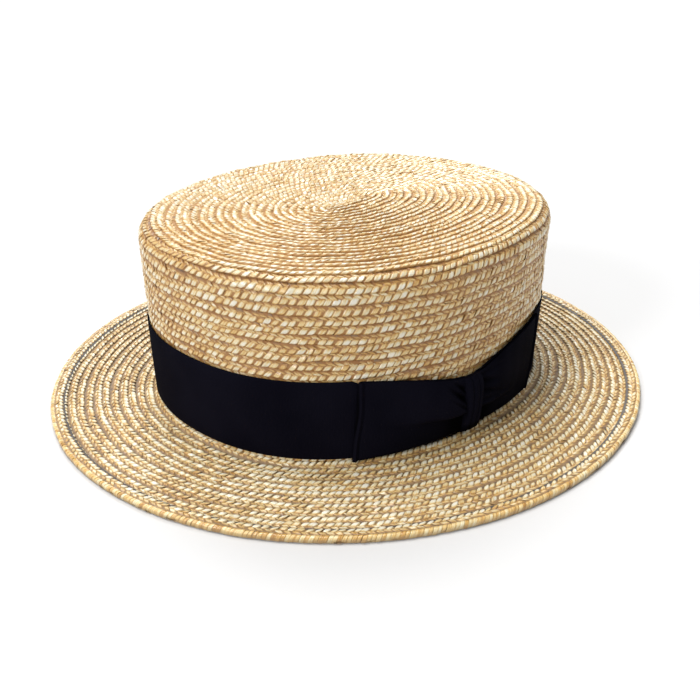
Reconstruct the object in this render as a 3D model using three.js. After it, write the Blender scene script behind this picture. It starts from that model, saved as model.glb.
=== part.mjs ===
// Straw boater hat: a stiff flat-topped crown of sewn straw plait, a flat oval brim
// with a raised edge braid, a black grosgrain band and a flat bow at the wearer's left.
//
// Frame, in millimetres: the hat rests on the plane z = 0 on its brim, +Z is up,
// the front of the hat faces -Y, and the bow is on the +X side.
// The origin is the centre of the brim's underside.

import * as THREE from 'three';

// ---------------------------------------------------------------- driving sizes

const OVAL_POWER = 2.19;              // superellipse power of the crown's head oval
const AROUND = 96;                    // facets round each oval

const CROWN = {
  baseHalfWidth: 86,                  // outer oval where the crown meets the brim
  baseHalfLength: 100,
  topHalfWidth: 88.5,                 // outer oval just under the rounded top edge
  topHalfLength: 102,
  height: 86,                         // above the brim's upper face
  edgeRadius: 8.3,
  wall: 2.2,
  edgeSteps: 5,
  sideSteps: 4,
};

const BRIM = {
  halfWidth: 144,
  halfLength: 151.5,
  thickness: 2.5,
  power: 2,                           // the brim's outline is a plain ellipse
};

const EDGE_BRAID = {
  lap: 3.1,                           // how far it lies over the brim
  width: 6.3,                         // from the hat's edge to its inner border
  rise: 0.9,                          // height of its top above the brim's top
  edgeRound: 0.8,
};

const RIBBON = {
  thickness: 1,
  low: 2.3,                           // heights above the brim's upper face
  high: 39.7,
};

const GAP = 0.3;                      // between pieces that touch on the real hat

// The bow's centre lies a little forward of the widest point of the oval.
// "along" is measured on the ribbon from that centre, towards the front or the back.
// "low" and "high" are heights above the brim's upper face. "edgeOut" and "midOut"
// are how far the outer layer stands off the crown at its borders and half way up.
const BOW_CENTRE = -16.5;             // arc length from the +X point, + towards the back
const KNOT_HALF_WIDTH = 4.8;
const LOOP_SECTIONS = [
  { along: 5.1, low: 2.6, high: 30.2, edgeOut: 4.4, midOut: 5.6 },
  { along: 9, low: 2.2, high: 31.0, edgeOut: 4.2, midOut: 6.3 },
  { along: 16, low: 1.8, high: 32.6, edgeOut: 4.0, midOut: 6.6 },
  { along: 25, low: 1.7, high: 34.9, edgeOut: 3.9, midOut: 5.8 },
  { along: 35, low: 1.8, high: 37.0, edgeOut: 3.8, midOut: 4.8 },
  { along: 45, low: 2.0, high: 38.7, edgeOut: 3.8, midOut: 4.1 },
  { along: 52, low: 2.1, high: 39.5, edgeOut: 3.8, midOut: 3.9 },
  { along: 55.5, low: 2.2, high: 39.8, edgeOut: 3.8, midOut: 3.8 },
];
const LOOP_END = LOOP_SECTIONS[LOOP_SECTIONS.length - 1];
const KNOT_SECTIONS = [
  { across: -1, low: 2.6, high: 30.0, out: 4.6 },
  { across: -0.75, low: 1.9, high: 30.8, out: 6.2 },
  { across: 0, low: 1.7, high: 31.0, out: 6.9 },
  { across: 0.75, low: 1.9, high: 30.8, out: 6.2 },
  { across: 1, low: 2.6, high: 30.0, out: 4.6 },
];
const KNOT_BORDER_FULLNESS = 0.55;    // share of "out" that the knot keeps at its borders
const KNOT_ROUNDING = 0.5;            // power that rounds the knot up its height
const LOOP_ACROSS = 8;                // facets up the height of a loop or of the knot
const FOLD_STEPS = 4;                 // facets round the fold at a loop's end

// ---------------------------------------------------------------- oval helpers

const signedPower = (value, power) => Math.sign(value) * Math.abs(value) ** power;

// A point of the oval |x/a|^n + |y/b|^n = 1. The angle is 0 at +X and grows towards +Y.
function ovalPoint(halfWidth, halfLength, angle, power) {
  return new THREE.Vector2(
    halfWidth * signedPower(Math.cos(angle), 2 / power),
    halfLength * signedPower(Math.sin(angle), 2 / power),
  );
}

function ovalNormal(halfWidth, halfLength, angle, power) {
  const point = ovalPoint(1, 1, angle, power);
  return new THREE.Vector2(
    signedPower(point.x, power - 1) / halfWidth,
    signedPower(point.y, power - 1) / halfLength,
  ).normalize();
}

// The crown's outer oval at a height above the brim's upper face.
function crownOval(height) {
  const part = height / (CROWN.height - CROWN.edgeRadius);
  return {
    halfWidth: THREE.MathUtils.lerp(CROWN.baseHalfWidth, CROWN.topHalfWidth, part),
    halfLength: THREE.MathUtils.lerp(CROWN.baseHalfLength, CROWN.topHalfLength, part),
  };
}

// Arc length along the crown's base oval, from the +X point to each angle.
const ARC_STEP = Math.PI / 2000;

function angleAtArc(arc) {
  const direction = Math.sign(arc) || 1;
  let left = Math.abs(arc);
  let angle = 0;
  let from = ovalPoint(CROWN.baseHalfWidth, CROWN.baseHalfLength, 0, OVAL_POWER);
  while (left > 0) {
    const next = angle + direction * ARC_STEP;
    const to = ovalPoint(CROWN.baseHalfWidth, CROWN.baseHalfLength, next, OVAL_POWER);
    const step = to.distanceTo(from);
    if (step >= left) return angle + direction * ARC_STEP * (left / step);
    left -= step;
    angle = next;
    from = to;
  }
  return angle;
}

// A point at an angle round the crown, a height above the brim's upper face,
// and a distance out from the crown's surface.
function offCrown(angle, height, out) {
  const { halfWidth, halfLength } = crownOval(height);
  const point = ovalPoint(halfWidth, halfLength, angle, OVAL_POWER);
  const normal = ovalNormal(halfWidth, halfLength, angle, OVAL_POWER);
  point.addScaledVector(normal, out);
  return new THREE.Vector3(point.x, point.y, BRIM.thickness + height);
}

// ---------------------------------------------------------------- mesh helpers

function meshFrom(name, points, triangles, material) {
  const geometry = new THREE.BufferGeometry();
  const positions = points.flatMap((p) => [p.x, p.y, p.z]);
  geometry.setAttribute('position', new THREE.Float32BufferAttribute(positions, 3));
  geometry.setIndex(triangles.flat());
  geometry.computeVertexNormals();
  const mesh = new THREE.Mesh(geometry, material);
  mesh.name = name;
  return mesh;
}

// Joins rings of points, each ring a closed loop that runs from +X towards +Y.
// Rings in the order inside-bottom, outside-bottom, outside-top, inside-top face outwards.
function closedRings(name, rings, material) {
  const points = rings.flat();
  const count = rings[0].length;
  const triangles = [];
  for (let row = 0; row < rings.length; row += 1) {
    const nextRow = (row + 1) % rings.length;
    for (let i = 0; i < count; i += 1) {
      const j = (i + 1) % count;
      const a = row * count + i;
      const b = row * count + j;
      const c = nextRow * count + j;
      const d = nextRow * count + i;
      triangles.push([a, b, c], [a, c, d]);
    }
  }
  return meshFrom(name, points, triangles, material);
}

// Rings between two poles: first pole, rings, last pole. The first pole is the inner one.
function polarRings(name, firstPole, rings, lastPole, material) {
  const points = [firstPole, ...rings.flat(), lastPole];
  const count = rings[0].length;
  const lastIndex = points.length - 1;
  const lastRing = 1 + (rings.length - 1) * count;
  const triangles = [];
  for (let i = 0; i < count; i += 1) {
    const j = (i + 1) % count;
    triangles.push([0, 1 + j, 1 + i]);
    triangles.push([lastIndex, lastRing + i, lastRing + j]);
    for (let row = 0; row < rings.length - 1; row += 1) {
      const a = 1 + row * count + i;
      const b = 1 + row * count + j;
      triangles.push([a, b, b + count], [a, b + count, a + count]);
    }
  }
  return meshFrom(name, points, triangles, material);
}

// Closes a sheet given as two grids of points, face[row][column] and back[row][column].
// Seen from the face's side, rows run to the right and columns upwards.
function thickSheet(name, face, back, material) {
  const rows = face.length;
  const columns = face[0].length;
  const points = [...face.flat(), ...back.flat()];
  const at = (side, row, column) => side * rows * columns + row * columns + column;
  const triangles = [];
  const quad = (a, b, c, d) => triangles.push([a, b, c], [a, c, d]);
  for (let r = 0; r < rows - 1; r += 1) {
    for (let c = 0; c < columns - 1; c += 1) {
      quad(at(0, r, c), at(0, r + 1, c), at(0, r + 1, c + 1), at(0, r, c + 1));
      quad(at(1, r, c), at(1, r, c + 1), at(1, r + 1, c + 1), at(1, r + 1, c));
    }
    const top = columns - 1;
    quad(at(0, r, 0), at(1, r, 0), at(1, r + 1, 0), at(0, r + 1, 0));
    quad(at(0, r, top), at(0, r + 1, top), at(1, r + 1, top), at(1, r, top));
  }
  const end = rows - 1;
  for (let c = 0; c < columns - 1; c += 1) {
    quad(at(0, 0, c), at(0, 0, c + 1), at(1, 0, c + 1), at(1, 0, c));
    quad(at(0, end, c), at(1, end, c), at(1, end, c + 1), at(0, end, c + 1));
  }
  return meshFrom(name, points, triangles, material);
}

function ovalRing(halfWidth, halfLength, z, power) {
  return Array.from({ length: AROUND }, (unused, i) => {
    const point = ovalPoint(halfWidth, halfLength, (2 * Math.PI * i) / AROUND, power);
    return new THREE.Vector3(point.x, point.y, z);
  });
}

// ---------------------------------------------------------------- straw pieces

// One skin of the crown, from its lower rim up to the rim of the flat tip, set in by inset.
function crownSkin(inset, lowZ) {
  const topZ = BRIM.thickness + CROWN.height;
  const radius = CROWN.edgeRadius;
  const rings = [];
  for (let i = 0; i <= CROWN.sideSteps; i += 1) {
    const part = i / CROWN.sideSteps;
    const z = THREE.MathUtils.lerp(lowZ, topZ - radius, part);
    const { halfWidth, halfLength } = crownOval(Math.max(z - BRIM.thickness, 0));
    rings.push(ovalRing(halfWidth - inset, halfLength - inset, z, OVAL_POWER));
  }
  for (let i = 1; i <= CROWN.edgeSteps; i += 1) {
    const turn = (Math.PI / 2) * (i / CROWN.edgeSteps);
    const reach = (radius - inset) * Math.cos(turn) - radius;
    const z = topZ - radius + (radius - inset) * Math.sin(turn);
    rings.push(ovalRing(CROWN.topHalfWidth + reach, CROWN.topHalfLength + reach, z, OVAL_POWER));
  }
  return rings;
}

function crown(material) {
  const topZ = BRIM.thickness + CROWN.height;
  const innerPole = new THREE.Vector3(0, 0, topZ - CROWN.wall);
  const outerPole = new THREE.Vector3(0, 0, topZ);
  const rings = [...crownSkin(CROWN.wall, 0).reverse(), ...crownSkin(0, 0)];
  return polarRings('crown', innerPole, rings, outerPole, material);
}

function brim(material) {
  const innerWidth = CROWN.baseHalfWidth + GAP;
  const innerLength = CROWN.baseHalfLength + GAP;
  const shortBy = EDGE_BRAID.width - EDGE_BRAID.lap + GAP;
  const outerWidth = BRIM.halfWidth - shortBy;
  const outerLength = BRIM.halfLength - shortBy;
  const rings = [
    ovalRing(innerWidth, innerLength, 0, OVAL_POWER),
    ovalRing(outerWidth, outerLength, 0, BRIM.power),
    ovalRing(outerWidth, outerLength, BRIM.thickness, BRIM.power),
    ovalRing(innerWidth, innerLength, BRIM.thickness, OVAL_POWER),
  ];
  return closedRings('brim', rings, material);
}

// The last turn of plait: it laps over the brim's border and makes the hat's edge.
function edgeBraid(material) {
  const top = BRIM.thickness + EDGE_BRAID.rise;
  const round = EDGE_BRAID.edgeRound;
  const under = EDGE_BRAID.width - EDGE_BRAID.lap;
  const profile = [
    { inset: under, z: 0 },
    { inset: round, z: 0 },
    { inset: 0, z: round },
    { inset: 0, z: top - round },
    { inset: round, z: top },
    { inset: EDGE_BRAID.width, z: top },
    { inset: EDGE_BRAID.width, z: BRIM.thickness + GAP },
    { inset: under, z: BRIM.thickness + GAP },
  ];
  const rings = profile.map(({ inset, z }) => (
    ovalRing(BRIM.halfWidth - inset, BRIM.halfLength - inset, z, BRIM.power)
  ));
  return closedRings('edge_braid', rings, material);
}

// ---------------------------------------------------------------- ribbon pieces

// A column of LOOP_SECTIONS at a distance along the ribbon, eased between its rows.
function sectionValue(column, along) {
  const rows = LOOP_SECTIONS;
  if (along <= rows[0].along) return rows[0][column];
  for (let i = 1; i < rows.length; i += 1) {
    if (along <= rows[i].along) {
      const part = (along - rows[i - 1].along) / (rows[i].along - rows[i - 1].along);
      return THREE.MathUtils.lerp(rows[i - 1][column], rows[i][column], part);
    }
  }
  return LOOP_END[column];
}

// The band's upper border runs level, and is drawn down under the bow.
function band(material) {
  const inside = [[], []];
  const outside = [[], []];
  const bowMiddle = ovalPoint(1, 1, angleAtArc(BOW_CENTRE), OVAL_POWER);
  for (let i = 0; i < AROUND; i += 1) {
    const angle = (2 * Math.PI * i) / AROUND;
    const point = ovalPoint(1, 1, angle, OVAL_POWER);
    const along = point.distanceTo(bowMiddle) * CROWN.baseHalfLength;
    const behindBow = along < LOOP_END.along;
    const high = behindBow ? sectionValue('high', along) - GAP : RIBBON.high;
    [RIBBON.low, high].forEach((height, border) => {
      inside[border].push(offCrown(angle, height, GAP));
      outside[border].push(offCrown(angle, height, GAP + RIBBON.thickness));
    });
  }
  return closedRings('band', [inside[0], outside[0], outside[1], inside[1]], material);
}

// A loop is one ribbon that leaves the knot, folds at its far end and comes back
// against the band. Side is -1 for the front loop and +1 for the back loop.
function bowLoop(name, side, material) {
  const innerOut = GAP + RIBBON.thickness + GAP;
  const foldRadius = (LOOP_END.edgeOut - innerOut) / 2;
  const stations = [];
  LOOP_SECTIONS.forEach((row) => stations.push({ ...row, layer: 'outer' }));
  for (let i = 1; i < FOLD_STEPS; i += 1) {
    const turn = (Math.PI * i) / FOLD_STEPS;
    stations.push({ ...LOOP_END, layer: 'fold', turn });
  }
  [...LOOP_SECTIONS].reverse().forEach((row) => stations.push({ ...row, layer: 'inner' }));

  const column = (station, depth) => {
    const points = [];
    for (let i = 0; i <= LOOP_ACROSS; i += 1) {
      const up = i / LOOP_ACROSS;
      const height = THREE.MathUtils.lerp(station.low, station.high, up);
      const swell = Math.sin(Math.PI * up) * (station.midOut - station.edgeOut);
      let out = station.edgeOut + swell - depth;
      let { along } = station;
      if (station.layer === 'inner') out = innerOut + depth;
      if (station.layer === 'fold') {
        out = innerOut + foldRadius + (foldRadius - depth) * Math.cos(station.turn);
        along += (foldRadius - depth) * Math.sin(station.turn);
      }
      points.push(offCrown(angleAtArc(BOW_CENTRE + side * along), height, out));
    }
    return side < 0 ? points.reverse() : points;
  };
  const face = stations.map((station) => column(station, 0));
  const back = stations.map((station) => column(station, RIBBON.thickness));
  return thickSheet(name, face, back, material);
}

// The knot is the ribbon wound round the middle of the bow: a full, rounded wrap.
function bowKnot(material) {
  const innerOut = GAP + RIBBON.thickness + GAP;
  const column = (section, atBack) => {
    const points = [];
    for (let i = 0; i <= LOOP_ACROSS; i += 1) {
      const up = i / LOOP_ACROSS;
      const height = THREE.MathUtils.lerp(section.low, section.high, up);
      const rounded = Math.sin(Math.PI * up) ** KNOT_ROUNDING;
      const fullness = THREE.MathUtils.lerp(KNOT_BORDER_FULLNESS, 1, rounded);
      const out = atBack ? innerOut : innerOut + (section.out - innerOut) * fullness;
      const along = BOW_CENTRE + section.across * KNOT_HALF_WIDTH;
      points.push(offCrown(angleAtArc(along), height, out));
    }
    return points;
  };
  const face = KNOT_SECTIONS.map((section) => column(section, false));
  const back = KNOT_SECTIONS.map((section) => column(section, true));
  return thickSheet('bow_knot', face, back, material);
}

// ---------------------------------------------------------------- the hat

const STRAW_COLOUR = 0xe3c893;
const RIBBON_COLOUR = 0x0b0b10;

const straw = () => new THREE.MeshStandardMaterial({ color: STRAW_COLOUR, roughness: 0.55 });
const ribbon = () => new THREE.MeshStandardMaterial({ color: RIBBON_COLOUR, roughness: 0.7 });

const hat = new THREE.Group();
hat.name = 'straw_boater_hat';
hat.add(crown(straw()));
hat.add(brim(straw()));
hat.add(edgeBraid(straw()));
hat.add(band(ribbon()));
hat.add(bowLoop('bow_front_loop', -1, ribbon()));
hat.add(bowLoop('bow_back_loop', 1, ribbon()));
hat.add(bowKnot(ribbon()));

export default hat;
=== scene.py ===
"""Straw boater hat: the visual model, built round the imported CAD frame.

Lengths in the tables below are millimetres; meshes are written in metres.
Every strand of straw is a small domed patch, laid along a spiral of overlapping plait rows.
"""
import math

import bpy
import numpy as np
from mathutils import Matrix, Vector


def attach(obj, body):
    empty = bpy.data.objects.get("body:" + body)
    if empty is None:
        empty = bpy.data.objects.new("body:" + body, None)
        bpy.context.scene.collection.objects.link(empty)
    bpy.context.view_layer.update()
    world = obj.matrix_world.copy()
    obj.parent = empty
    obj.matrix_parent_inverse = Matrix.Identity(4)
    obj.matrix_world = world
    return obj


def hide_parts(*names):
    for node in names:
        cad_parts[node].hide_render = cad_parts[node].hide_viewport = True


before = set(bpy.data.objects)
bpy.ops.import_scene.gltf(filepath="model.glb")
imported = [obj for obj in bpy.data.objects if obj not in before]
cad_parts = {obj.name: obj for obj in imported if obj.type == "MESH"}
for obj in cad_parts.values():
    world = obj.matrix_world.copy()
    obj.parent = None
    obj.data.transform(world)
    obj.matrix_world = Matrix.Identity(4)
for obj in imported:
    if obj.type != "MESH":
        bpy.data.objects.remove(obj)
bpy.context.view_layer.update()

MM = 0.001
TURN = 2 * math.pi
RANDOM = np.random.default_rng(20)

# ---- The hat's driving sizes, as in the CAD part ----
OVAL_POWER = 2.19  # superellipse power of the head oval
BRIM_POWER = 2  # the brim's outline is a plain ellipse
BRIM_TOP = 2.5
CROWN_TOP = 88.5
CROWN_HEIGHT = 86.0
BASE_HALF = (86.0, 100.0)
TOP_HALF = (88.5, 102.0)
EDGE_RADIUS = 8.3
WALL = 2.2
BRIM_HALF = (144.0, 151.5)
EDGE_ROW_WIDTH = 6.3
EDGE_ROW_RISE = 0.9
RIBBON_LOW = 2.2
BOW_CENTRE = -16.5  # along the ribbon from the hat's left, towards the back

TIP_FLAT = TOP_HALF[0] - EDGE_RADIUS
TIP_LONGER = TOP_HALF[1] - TOP_HALF[0]
TIP_CENTRE = 0.02  # the least radius at the tip's middle
EDGE_ARC = EDGE_RADIUS * math.pi / 2
SIDE_HEIGHT = CROWN_HEIGHT - EDGE_RADIUS
SIDE_START = TIP_FLAT + EDGE_ARC
CROWN_END = SIDE_START + SIDE_HEIGHT
BRIM_SPAN = (BRIM_HALF[0] - EDGE_ROW_WIDTH - BASE_HALF[0], BRIM_HALF[1] - EDGE_ROW_WIDTH - BASE_HALF[1])
CROWN_MIDDLE = (0, 0, 20.0)  # a point inside the hat, to tell outwards from inwards

# ---- Layers through the straw: a thin solid core with plait on both faces ----
PLAIT_DEPTH = 0.9
CORE_HALF = 0.08


def oval(half_width, half_length, power, theta):
    """Points and outward normals of a rounded oval."""
    c, s = np.cos(theta), np.sin(theta)
    e = 2 / power
    x = half_width * np.sign(c) * np.abs(c) ** e
    y = half_length * np.sign(s) * np.abs(s) ** e
    nx = np.sign(c) * np.abs(c) ** (2 - e) / half_width
    ny = np.sign(s) * np.abs(s) ** (2 - e) / half_length
    size = np.hypot(nx, ny)
    return x, y, nx / size, ny / size


def crown_surface(q, theta, lift):
    """A point of the crown. q runs from the tip's centre over the edge and down the side.

    lift is the distance outwards from the CAD solid's face.
    """
    q, theta, lift = np.broadcast_arrays(q, theta, lift)
    turn = np.clip((q - TIP_FLAT) / EDGE_RADIUS, 0, math.pi / 2)
    above = np.clip(CROWN_END - q, None, SIDE_HEIGHT) / SIDE_HEIGHT
    side = q > SIDE_START
    on_top = np.clip(q, TIP_CENTRE, TIP_FLAT) + EDGE_RADIUS * np.sin(turn)
    side_width = BASE_HALF[0] + (TOP_HALF[0] - BASE_HALF[0]) * above
    side_length = BASE_HALF[1] + (TOP_HALF[1] - BASE_HALF[1]) * above
    half_width = np.where(side, side_width, on_top)
    half_length = np.where(side, side_length, on_top + TIP_LONGER)
    z = np.where(side, BRIM_TOP + SIDE_HEIGHT * above, CROWN_TOP - EDGE_RADIUS * (1 - np.cos(turn)))
    x, y, nx, ny = oval(half_width, half_length, OVAL_POWER, theta)
    flat = np.sin(turn)
    return np.stack([x + nx * flat * lift, y + ny * flat * lift, z + np.cos(turn) * lift], -1)


def brim_surface(f, theta, z):
    """A point of the brim. f is the distance out from the crown, on the hat's left and right."""
    f, theta, z = np.broadcast_arrays(f, theta, z)
    share = np.minimum(f / BRIM_SPAN[0], 1)
    past = np.maximum(f - BRIM_SPAN[0], 0)
    half_width = BASE_HALF[0] + BRIM_SPAN[0] * share + past
    half_length = BASE_HALF[1] + BRIM_SPAN[1] * share + past
    x, y, _, _ = oval(half_width, half_length, OVAL_POWER + (BRIM_POWER - OVAL_POWER) * share, theta)
    return np.stack([x, y, z], -1)


# ---- Mesh helpers ----
def place_object(name, data):
    obj = bpy.data.objects.new(name, data)
    bpy.context.scene.collection.objects.link(obj)
    return obj


def add_mesh(name, vertices, quads):
    """A smooth mesh object from arrays: vertices (n, 3) in mm, quads (m, 4)."""
    mesh = bpy.data.meshes.new(name)
    mesh.vertices.add(len(vertices))
    mesh.vertices.foreach_set("co", (np.asarray(vertices, float) * MM).astype(np.float32).ravel())
    mesh.loops.add(quads.size)
    mesh.loops.foreach_set("vertex_index", quads.astype(np.int32).ravel())
    mesh.polygons.add(len(quads))
    mesh.polygons.foreach_set("loop_start", np.arange(0, quads.size, 4, dtype=np.int32))
    mesh.polygons.foreach_set("use_smooth", np.full(len(quads), True))
    mesh.update(calc_edges=True)
    return place_object(name, mesh)


def lengths_along(points):
    """The length along a line of points from the first one to each."""
    return np.concatenate([[0], np.cumsum(np.linalg.norm(np.diff(points, axis=0), axis=1))])


def grid_quads(rows, columns, wrap_rows=False, wrap_columns=False):
    """Vertex indices of the quads of one grid."""
    r = np.arange(rows if wrap_rows else rows - 1)
    c = np.arange(columns if wrap_columns else columns - 1)
    r, c = (m.ravel() for m in np.meshgrid(r, c, indexing="ij"))
    r1, c1 = (r + 1) % rows, (c + 1) % columns
    return np.stack([r * columns + c, r * columns + c1, r1 * columns + c1, r1 * columns + c], -1)


def set_uv(obj, name, per_vertex):
    """A UV map from one pair per vertex."""
    mesh = obj.data
    corner = np.empty(len(mesh.loops), np.int32)
    mesh.loops.foreach_get("vertex_index", corner)
    layer = mesh.uv_layers.new(name=name)
    layer.data.foreach_set("uv", per_vertex[corner].astype(np.float32).ravel())


def set_colour(obj, name, per_vertex):
    """A colour attribute from four numbers per vertex."""
    layer = obj.data.color_attributes.new(name, "FLOAT_COLOR", "POINT")
    layer.data.foreach_set("color", per_vertex.astype(np.float32).ravel())


def set_sharp(obj, line):
    """Keeps a crease along each line of vertices that shares one number above 0."""
    mesh = obj.data
    ends = np.empty(len(mesh.edges) * 2, np.int32)
    mesh.edges.foreach_get("vertices", ends)
    first, second = line[ends.reshape(-1, 2)].T
    layer = mesh.attributes.new("sharp_edge", "BOOLEAN", "EDGE")
    layer.data.foreach_set("value", (first == second) & (first > 0))


def finish_piece(obj, material, node_name):
    """Gives a piece its finish and its body, and hides the CAD node that it stands for."""
    obj.data.materials.append(material)
    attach(obj, "root")
    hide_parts(node_name)


# ---- Straw plait ----
TRACK_POINTS = 480  # for each turn of a spiral
# Slow waves along a row, of its border's place and of its stand: (radians in a turn, height)
BORDER_WAVES = ((27.3, 1.0), (51.9, 0.8), (113.1, 0.5))
STAND_WAVES = ((18.9, 0.20), (43.3, 0.16))


class Track:
    """A spiral of plait rows: where each turn lies, and the arc length along it."""

    def __init__(self, place, turns, surface, wave):
        first, last = turns
        self.place, self.surface, self.wave = place, surface, wave
        self.turns = np.linspace(first, last, int((last - first) * TRACK_POINTS) + 1)
        points = surface(place(self.turns), self.turns * TURN, 0.0)
        self.arc = lengths_along(points)
        self.phase = RANDOM.uniform(0, TURN, len(BORDER_WAVES))

    def at(self, arc):
        """At an arc length: the turn, the wavy border of the row there, and how far it stands up."""
        turn = np.interp(arc, self.arc, self.turns)
        wobble = sum(h * np.sin(turn * rate + p) for (rate, h), p in zip(BORDER_WAVES, self.phase))
        stand = sum((h * np.sin(turn * rate + p) for (rate, h), p in zip(STAND_WAVES, self.phase[1:])), 1)
        return turn, self.place(turn) + self.wave * wobble, stand


NOISE_LANES = 16
SPLICE_START, SPLICE_RATE = 0.4, 5  # where in a step one straw gives way to the next, and how fast


def slow_noise(arc, lane, step):
    """A value from 0 to 1 for each strand, changing along the row as straws are spliced in."""
    table = RANDOM.random((NOISE_LANES, int(arc.max() / step) + 3))
    cell = arc / step
    low = np.floor(cell).astype(int)
    share = np.clip((cell - low - SPLICE_START) * SPLICE_RATE, 0, 1)
    return table[lane, low] * (1 - share) + table[lane, low + 1] * share


STRAWS = 7  # straws in the plait, each with its own slowly changing tone
FIRST_STRAND = 1.6  # pitches from a track's start to its first strand
# Slow changes of the strands' spacing: (strands in a radian, height as a share of the pitch)
SPACING_WAVES = ((17.9, 0.5), (7.3, 0.25), (3.1, 0.15))
# How far single strands stray: shares of the pitch or of their own size, then heights in mm
START_STRAY = 0.09
LEAN_STRAY = 0.2
HALF_STRAY = (-0.13, 0.08)
REACH_STRAY = 0.06
LIFT_SPREAD = 0.035
TILT_MEAN, TILT_SPREAD = 0.02, 0.15
PITCH_UP_SPREAD = 0.12
SHIFT_SPREAD = 0.09
LONG_STEP, LONG_FROM, LONG_RATE = 24.0, 0.62, 8  # the stretches of a row with longer strands
TONE_STEP = 45.0
OWN_PLACES = 900  # the range of each strand's own place in the fibre pattern


def draw_strands(arc_length, pitch, tier):
    """Each strand's own place, size, tilt and tone, in one array for each."""
    loose = tier["loose"]
    count = int((arc_length - 2 * pitch) / pitch)
    index = np.arange(count)
    drift = sum(height * np.sin(index / rate) for rate, height in SPACING_WAVES)
    stray = drift + RANDOM.uniform(-START_STRAY, START_STRAY, count)
    start = (index + FIRST_STRAND + tier["phase"] + loose * stray) * pitch
    lean = tier["lean"] * (1 + loose * RANDOM.uniform(-LEAN_STRAY, LEAN_STRAY, count))
    half = tier["half"] * pitch * (1 + loose * RANDOM.uniform(*HALF_STRAY, count))
    long = np.clip((slow_noise(start, 0, LONG_STEP) - LONG_FROM) * LONG_RATE, 0, 1)
    reach = (1 + loose * RANDOM.uniform(-REACH_STRAY, REACH_STRAY, count)) * (1 + tier["longer"] * long)
    lift = loose * RANDOM.normal(0, LIFT_SPREAD, count)
    tilt = loose * RANDOM.normal(TILT_MEAN, TILT_SPREAD, count)
    pitch_up = loose * RANDOM.normal(0, PITCH_UP_SPREAD, count)
    shift = loose * RANDOM.normal(0, SHIFT_SPREAD, count)
    gloss = RANDOM.random(count)
    own = RANDOM.uniform(0, OWN_PLACES, (count, 2))
    lane = (index * 2 + tier["order"]) % STRAWS
    tone = 0.5 * slow_noise(start, lane, TONE_STEP) + 0.5 * RANDOM.random(count)
    return dict(
        start=start, lean=lean, half=half, reach=reach, lift=lift, tilt=tilt, pitch_up=pitch_up,
        shift=shift, gloss=gloss, own=own, tone=tone,
    )


STATION_KEYS = ("stations", "unshaded", "shade_tone", "width")
CREASED_ACROSS = 4  # points across a strand that has a flat face between two creases
CREST_SHARE = 0.62  # the flat face of a straw, as a share of its half width
DOME_POWER = 4  # how squarely a strand's sides drop
TAIL_DROP = -0.1  # how far a row's covered side sinks, as a share of its free border's stand
SIDE_PAINTED_SHADE = 0.55  # how much more painted shade a strand's sides get than its middle
HIGHLIGHT_POWERS = (1.4, 0.8)  # how the painted highlight along a strand's crest falls off across and along it
HIGHLIGHT_ENDS = (0.08, 0.92)


def lay_strands(track, pitch, tier, side, windows=None):
    """One tier of strands along a track, from its table below.

    side is +1 where the distance in from the row's free border grows with the track's own
    coordinate, else -1. windows are the turns whose strands are kept.
    Returns the grid points (n, stations, across, 3), then for the same grid the straw colour's four
    values, the place in the fibre pattern, and the place in the strand from 0 to 1.
    """
    loose = tier["loose"]
    strands = draw_strands(track.arc[-1], pitch * tier["pitch"], tier)
    if windows is not None:
        turn_there = np.interp(strands["start"], track.arc, track.turns)
        kept = np.any([(turn_there >= a) & (turn_there < b) for a, b in windows], axis=0)
        strands = {key: values[kept] for key, values in strands.items()}
    own = strands.pop("own")
    each = {key: values[:, None, None] for key, values in strands.items()}
    stations, unshaded, shade_tone, taper = (np.array(tier[key])[None, :, None] for key in STATION_KEYS)
    s = np.linspace(0, 1, stations.shape[1])[None, :, None]
    t = np.linspace(-1, 1, tier["across"])[None, None, :]
    if tier["across"] == CREASED_ACROSS:
        t = np.where(np.abs(t) < 1, np.sign(t) * CREST_SHARE, t)
    inwards, height = stations[..., 0], stations[..., 1]
    v = inwards * each["reach"] + each["shift"]
    arc = each["start"] + each["lean"] * each["reach"] * (s - 0.5) + t * each["half"] * taper
    dome = height + each["lift"] + each["tilt"] * t + each["pitch_up"] * (2 * s - 1)
    dome = dome - tier["drop"] * np.abs(t) ** DOME_POWER
    turn, border, stand = track.at(arc)
    row_base = tier["free"] * stand * np.clip(1 - v / tier["row"], TAIL_DROP, 1)
    width = np.abs(track.place(turn + side) - track.place(turn))
    place = border + side * v * np.where(width > 0, width / tier["row"], 1)
    points = track.surface(place, turn * TURN, row_base + dome)
    shape = points.shape[:3]
    tone = tier["tone"] + tier["spread"] * (each["tone"] - 0.5)
    highlight_across = 1 - np.abs(t) ** HIGHLIGHT_POWERS[0]
    highlight_along = np.sin(math.pi * np.clip(s, *HIGHLIGHT_ENDS)) ** HIGHLIGHT_POWERS[1]
    # The colour values: tone with painted shade near the ends, gloss, the share free of the painted shade
    # colour (less at the sides), and the painted highlight along the crest.
    values = [
        np.clip(tone + shade_tone, 0, 1),
        each["gloss"],
        unshaded * (1 - SIDE_PAINTED_SHADE * loose * np.abs(t) ** 2),
        loose * highlight_across * highlight_along,
    ]
    length = np.hypot(inwards[0, -1, 0] - inwards[0, 0, 0], tier["lean"])
    fibre = [t * each["half"] + own[:, :1, None], s * length + own[:, 1:, None]]
    local = [(t + 1) / 2, s]
    grids = (np.stack([np.broadcast_to(m, shape) for m in group], -1) for group in (values, fibre, local))
    return points, *grids


CELL_MARGIN = 0.1


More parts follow.
